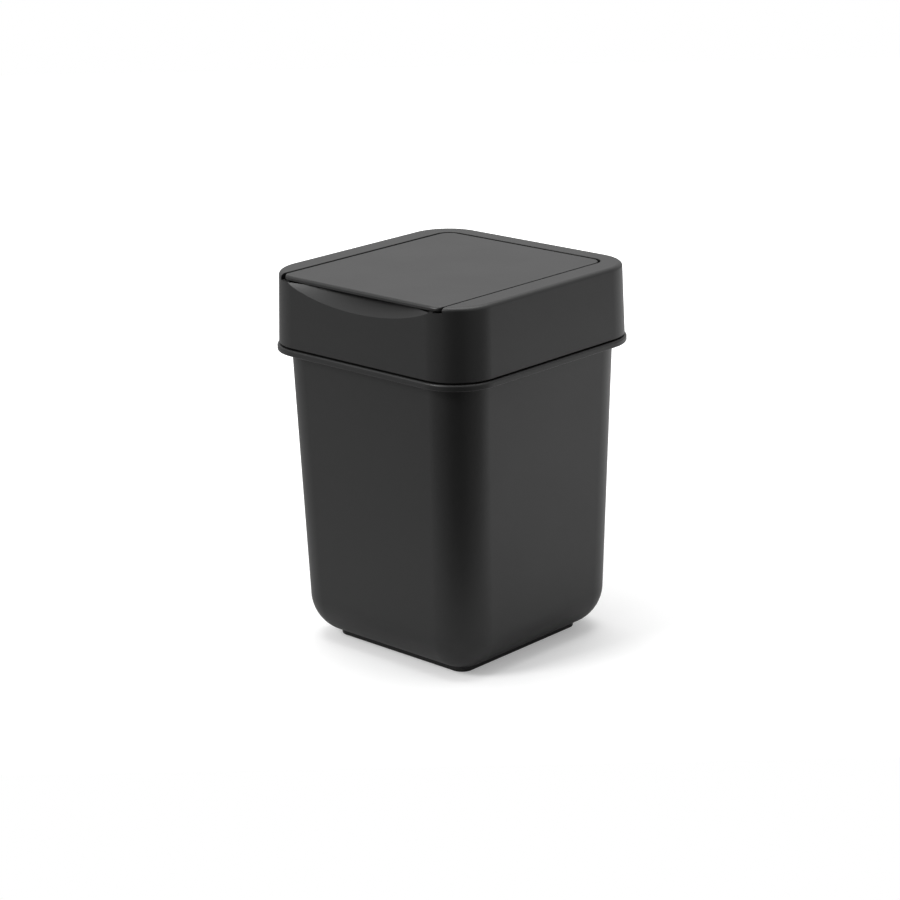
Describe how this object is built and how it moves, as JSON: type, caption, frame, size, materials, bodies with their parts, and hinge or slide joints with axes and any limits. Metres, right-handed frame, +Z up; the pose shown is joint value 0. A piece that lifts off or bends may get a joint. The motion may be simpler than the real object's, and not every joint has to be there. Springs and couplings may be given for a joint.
{
  "type": "countertop trash can with swing lid",
  "caption": "Square countertop trash can: tapered bucket on a recessed standing ring, lift-off lid frame with finger scoop, and a swing flap hinged on pins that falls shut",
  "frame": {"origin": "centre of the standing ring's footprint, on the floor", "axes": "+Z up; the front with the finger scoop faces -Y; seen from the front, +X is to the right"},
  "size_m": [0.185, 0.185, 0.26],
  "materials": {
    "bucket_plastic": "fine satin grain, charcoal black",
    "lid_plastic": "fine satin grain, charcoal black",
    "flap_plastic": "fine satin grain, charcoal black",
    "pin_plastic": "smooth, black"
  },
  "bodies": {
    "bin": {"bin_body": "bucket_plastic"},
    "lid": {"lid_frame": "lid_plastic", "hinge_pin_left": "pin_plastic", "hinge_pin_right": "pin_plastic"},
    "flap": {"swing_flap": "flap_plastic"}
  },
  "joints": [
    {"name": "lid_lift", "type": "slide", "parent": "bin", "child": "lid", "axis": [0, 0, 1], "range_m": [0, 0.12]},
    {"name": "flap_swing", "type": "hinge", "parent": "lid", "child": "flap", "pos_m": [0, 0.03645, 0.252], "axis": [-1, 0, 0], "range_deg": [0, 80]}
  ]
}
